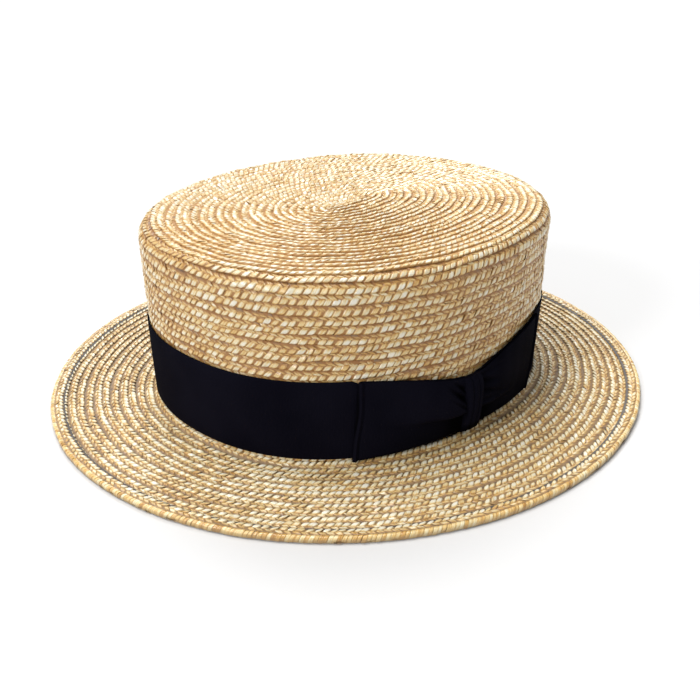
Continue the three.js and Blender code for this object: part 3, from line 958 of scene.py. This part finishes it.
# Creases beside the knot, for the front loop (-1) and the back one (+1).
# "fall": where the long crease starts in the height, and how that changes along the loop.
# "short": (start, slope, width, depth, length, painted shade). "shade": how much painted shade the whole
# loop gets.
CREASES = {
    -1: dict(shade=0.0, fall=(0.36, 0.0018), short=[
        (0.60, 0.028, 0.070, 3.0, 8.5, 1.0), (0.77, 0.026, 0.055, 2.2, 6.0, 1.0),
        (0.45, 0.026, 0.035, 1.4, 8.0, 0.6),
    ]),
    1: dict(shade=0.35, fall=(0.36, -0.0030), short=[
        (0.82, -0.012, 0.050, 2.4, 10.0, 0.9), (0.66, -0.016, 0.045, 2.0, 14.0, 0.8),
        (0.48, -0.004, 0.035, 1.3, 18.0, 0.5), (0.93, -0.004, 0.030, 1.0, 14.0, 0.5),
    ]),
}
FALL_WAVE = (0.010, 3.1)  # the long crease's waver: (share of the height, mm in a radian)
FALL_SOFTNESS = 0.011  # how gradually the ribbon turns in there
# How creases fade along the loop: (strength at the knot, length in mm for each 1 that it falls)
FALL_FADE = (1.05, 42)
SHADE_FADE = (1.6, 7)
SHORT_STRENGTH = 1.3
NARROWED = 0.45  # the share of its width that a short crease keeps at its end
# Painted shade under the long crease and near the knot
FALL_SHADE, KNOT_SHADE = 0.7, 0.5
UNDER_OUT = 0.4  # how far the part under the long crease stands off the borders' distance
SWELL_POWERS = (0.85, 0.8)  # where up the height the loop is fullest, and how square its swell is
BACK_LAYER_OUT = 1.15
BACK_LAYER_CLEAR = 0.6
FOLD_LENGTH = 1.0
# Painted shadow along the fold at the loop's end, beside the band
FOLD_SHADE = 0.9
FOLD_LINE_WIDTH = 0.5
# Along the fold, a roll and the hollow beside it: (distance from the loop's end, width, height)
FOLD_RIDGES = ((1.3, 0.45, 0.6), (2.5, 0.6, -0.3))
FOLD_WAVE = (0.45, 7)  # the fold's waver up the height: (mm, radians)
LOOP_WAVE = (0.12, 6.0, 5)  # a soft wave over the loop: (mm, mm in a radian, radians up the height)
FRONT_END_LEAN = 2.4  # how far the front loop's end leans, from its lower border to its upper one
BACK_END_LEAN, BACK_LEAN_HEIGHT = -6.0, 0.42  # the back loop's end is drawn in below this height


def ridge(distance, centre, width):
    return np.exp(-((distance - centre) / width) ** 2)


def faded(distance, strength, length):
    return np.clip(strength - distance / length, 0, 1)


def loop_path():
    """Distances along a loop's ribbon, fine on the front layer and coarser on the hidden one."""
    front = np.linspace(0, LOOP_RUN, LOOP_RIBS * COLUMNS_PER_RIB + 1)
    share = np.linspace(0, 1, LOOP_RIBS + 1)[1:]
    hidden = LOOP_RUN * (2 - (1 - share) ** 1.5)
    return np.unique(np.round(np.concatenate([front, hidden]), 6))[:, None]


def creased(side, phase, distance, b, edge_out, mid_out):
    """The front layer's distance out with its creases pressed in, and how much painted shade each fold
    gets.
    """
    creases = CREASES[side]
    plain = edge_out + (mid_out - edge_out) * np.sin(np.pi * b ** SWELL_POWERS[0]) ** SWELL_POWERS[1]
    from_knot = np.maximum(distance - KNOT_HALF, 0)
    # Under a long crease the lowest part of the ribbon is folded in, away from the light, and painted
    # with shade.
    start, slope = creases["fall"]
    fall = start + slope * from_knot + FALL_WAVE[0] * np.sin(distance / FALL_WAVE[1] + phase)
    folded = edge_out + UNDER_OUT + UNDER_OUT * np.sin(np.pi * np.clip(b / fall, 0, 1))
    under = 1 - 1 / (1 + np.exp((fall - b) / FALL_SOFTNESS))
    deep = faded(from_knot, *FALL_FADE)
    out = plain - deep * under * np.maximum(plain - folded, 0)
    near_knot = faded(from_knot, *SHADE_FADE)
    fold = under * np.clip(FALL_SHADE * deep + KNOT_SHADE * near_knot, 0, 1)
    # Short creases fan out from the knot and narrow as they fade, each painted with shade.
    for start, slope, width, depth, length, shade in creases["short"]:
        fade = faded(from_knot, SHORT_STRENGTH, length)
        narrowed = NARROWED + (1 - NARROWED) * fade
        crease = ridge(b, start + slope * from_knot, width * narrowed) * fade
        out = out - depth * crease
        fold = np.maximum(fold, shade * crease)
    return np.maximum(out, BACK_LAYER_OUT + BACK_LAYER_CLEAR), fold


def loop(name, side, node_name, phase):
    """A folded ribbon: its front layer leaves the knot, turns at the fold and comes back on the band."""
    path = loop_path()
    rib = 0.5 - 0.5 * np.cos(path / LOOP_RUN * LOOP_RIBS * TURN)
    front = path < LOOP_RUN
    distance = np.where(front, LOOP_START + path, LOOP_END - (path - LOOP_RUN))
    b = np.linspace(0, 1, LOOP_COLUMNS)[None, :]
    low, high, edge_out, mid_out = (
        np.interp(distance, LOOP_SECTIONS[:, 0], LOOP_SECTIONS[:, column]) for column in (1, 2, 3, 4)
    )
    z = low + (high - low) * b
    out, fold = creased(side, phase, distance, b, edge_out, mid_out)
    out = out + LOOP_WAVE[0] * np.sin(distance / LOOP_WAVE[1] + b * LOOP_WAVE[2] + phase)
    to_fold = LOOP_END - distance + FOLD_WAVE[0] * np.sin(b * FOLD_WAVE[1] + phase)
    for place, width, height in FOLD_RIDGES:
        out = out + height * ridge(to_fold, place, width)
    # Painted shade over the whole loop, mottled, and a painted shadow along its fold.
    shade_mottle = np.sin(distance / 2.9 + 4 * b) * np.sin(distance / 5.3 - 7 * b + phase)
    fold = np.maximum(fold, CREASES[side]["shade"] * (1 + 0.5 * shade_mottle))
    fold = np.maximum(fold, FOLD_SHADE * ridge(to_fold, 0.0, FOLD_LINE_WIDTH))
    # Near its end the strip turns half round, from the front layer to the back one.
    half = (out - BACK_LAYER_OUT) / 2
    middle = (out + BACK_LAYER_OUT) / 2
    left = np.clip((LOOP_END - distance) / FOLD_LENGTH, 0, 1)
    turned = middle + np.where(front, 1, -1) * half * np.sqrt(np.clip(1 - (1 - left) ** 2, 0, 1))
    layered = np.where(front, out, BACK_LAYER_OUT)
    out = np.where(LOOP_END - distance < FOLD_LENGTH, turned, layered) + RIB_DEPTH * rib * front
    if side < 0:
        lean = FRONT_END_LEAN * (0.5 - b)
    else:
        lean = BACK_END_LEAN * np.clip(BACK_LEAN_HEIGHT - b, 0, 1) ** 1.5 / BACK_LEAN_HEIGHT
    arc = BOW_CENTRE + side * (distance + lean * np.clip(distance / LOOP_END, 0, 1) ** 2)
    points = wall_point(arc, z, out)
    weave = np.stack(np.broadcast_arrays(path, z), -1)
    if side > 0:
        points, weave, fold = points[:, ::-1], weave[:, ::-1], fold[:, ::-1]
    bow_ribbon(name, points, weave, fold, node_name)


# The knot, down its middle: (height, out)
KNOT_LINE = np.array([
    (3.4, 1.0), (2.8, 3.0), (3.8, 4.8), (8, 6.1), (15, 6.9), (22, 6.8), (26, 6.2), (28.6, 5.2),
    (30.0, 3.4), (29.6, 1.0),
])
# and across it the pleats: (across, share of the way out)
KNOT_PLEATS = np.array([
    (-5.0, 0.0), (-4.9, 0.55), (-4.2, 0.86), (-3.3, 0.95), (-2.5, 0.94), (-2.0, 0.89), (-1.6, 0.96),
    (-0.4, 1.0), (0.9, 0.98), (1.4, 0.92), (1.9, 0.98), (2.9, 0.97), (4.1, 0.9), (4.9, 0.6), (5.0, 0.0),
])
PLEAT_DEPTH = 5.0  # the pleats' shares count as this many mm when their points are spaced out
PLEAT_LINES = (-2.0, 1.4)  # the hollows between pleats
# Painted shade along those hollows
PLEAT_LINE_WIDTH, PLEAT_LINE_SHADE = 0.3, 0.5
KNOT_RIBS = 70
KNOT_COLUMNS = 45
KNOT_BACK = 1.0
KNOT_WAIST = (16, 7.0, 0.10)  # where up the knot it is pulled in, over what height, and how much
KNOT_FOOT = (8.5, 4, 0.8)  # the painted shade at the foot, where it turns under: its top, its ease and its strength


def resample(table, count):
    """The table's points, evenly spaced along its length, and the distance along it to each."""
    length = lengths_along(table)
    at = np.linspace(0, length[-1], count)
    return np.stack([np.interp(at, length, column) for column in table.T], -1), at


def knot():
    """The ribbon wound round the middle of the bow, with its pleats."""
    line, along = resample(KNOT_LINE, KNOT_RIBS * COLUMNS_PER_RIB + 1)
    pleats, _ = resample(KNOT_PLEATS * np.array([1.0, PLEAT_DEPTH]), KNOT_COLUMNS)
    across, share = pleats[None, :, 0], pleats[None, :, 1] / PLEAT_DEPTH
    z, line_out = line[:, :1] + 0 * across, line[:, 1:]
    rib = rib_heights(len(line))
    place, reach, pull = KNOT_WAIST
    waist = 1 - pull * ridge(z, place, reach)
    out = KNOT_BACK + (line_out - KNOT_BACK) * share + RIB_DEPTH * rib * (share > 0.5)
    points = wall_point(BOW_CENTRE + across * waist, z, out)
    weave = np.stack(np.broadcast_arrays(along[:, None], across), -1)
    # Painted shade at the knot's foot, where it turns under, and in the hollows between pleats.
    top, ease, shade = KNOT_FOOT
    fold = np.clip((top - z) / ease, 0, shade)
    for place in PLEAT_LINES:
        fold = fold + PLEAT_LINE_SHADE * ridge(across, place, PLEAT_LINE_WIDTH)
    bow_ribbon("bow_knot_ribbon", points, weave, fold, "bow_knot")


band()
loop("bow_front_loop_ribbon", -1, "bow_front_loop", 0.4)
loop("bow_back_loop_ribbon", 1, "bow_back_loop", 2.1)
knot()


# ---- Studio, in metres ----
FLOOR_HALF = 40.0
FLOOR_COLOUR = (0.71, 0.71, 0.71, 1)
FLOOR_ROUGHNESS, FLOOR_SPECULAR = 0.9, 0.1
WORLD_COLOUR, WORLD_STRENGTH = (1, 1, 1, 1), 0.46
# Soft distant lamps: (name, azimuth and elevation it shines from, strength, spread in degrees)
SUNS = (("key", -70, 74, 1.9, 34), ("side", -128, 47, 1.35, 22), ("front", -5, 26, 1.4, 18))
LENS, SENSOR_WIDTH = 46.3, 36
CAMERA_PLACE = (0.2865, -0.3049, 0.2156)
CAMERA_AIM = (0.0, 0.0, 0.0085)


def turn_to(obj, where, aim):
    obj.rotation_euler = (Vector(aim) - Vector(where)).to_track_quat("-Z", "Y").to_euler()


def pale_floor():
    mesh = bpy.data.meshes.new("floor")
    corners = [(x * FLOOR_HALF, y * FLOOR_HALF, 0) for x, y in ((-1, -1), (1, -1), (1, 1), (-1, 1))]
    mesh.from_pydata(corners, [], [(0, 1, 2, 3)])
    floor = place_object("floor", mesh)
    material, _, shader = new_material("pale_floor")
    shader.inputs["Base Color"].default_value = FLOOR_COLOUR
    shader.inputs["Roughness"].default_value = FLOOR_ROUGHNESS
    shader.inputs["Specular IOR Level"].default_value = FLOOR_SPECULAR
    mesh.materials.append(material)


def sun(name, azimuth, elevation, strength, spread):
    """A soft distant lamp; the azimuth is where it shines from, as a camera's."""
    light = bpy.data.lights.new(name, "SUN")
    light.energy = strength
    light.angle = math.radians(spread)
    a, e = math.radians(azimuth), math.radians(elevation)
    where = (math.sin(a) * math.cos(e), -math.cos(a) * math.cos(e), math.sin(e))
    turn_to(place_object(name, light), where, (0, 0, 0))


def studio():
    """A pale floor, soft light, and a camera at the photo's angle."""
    scene = bpy.context.scene
    scene.view_settings.view_transform = "Standard"
    pale_floor()
    world = bpy.data.worlds.new("studio")
    world.use_nodes = True
    background = world.node_tree.nodes["Background"]
    background.inputs["Color"].default_value = WORLD_COLOUR
    background.inputs["Strength"].default_value = WORLD_STRENGTH
    scene.world = world
    for lamp in SUNS:
        sun(*lamp)
    camera_data = bpy.data.cameras.new("camera")
    camera_data.lens = LENS
    camera_data.sensor_width = SENSOR_WIDTH
    camera = place_object("camera", camera_data)
    camera.location = CAMERA_PLACE
    turn_to(camera, CAMERA_PLACE, CAMERA_AIM)
    scene.camera = camera


studio()
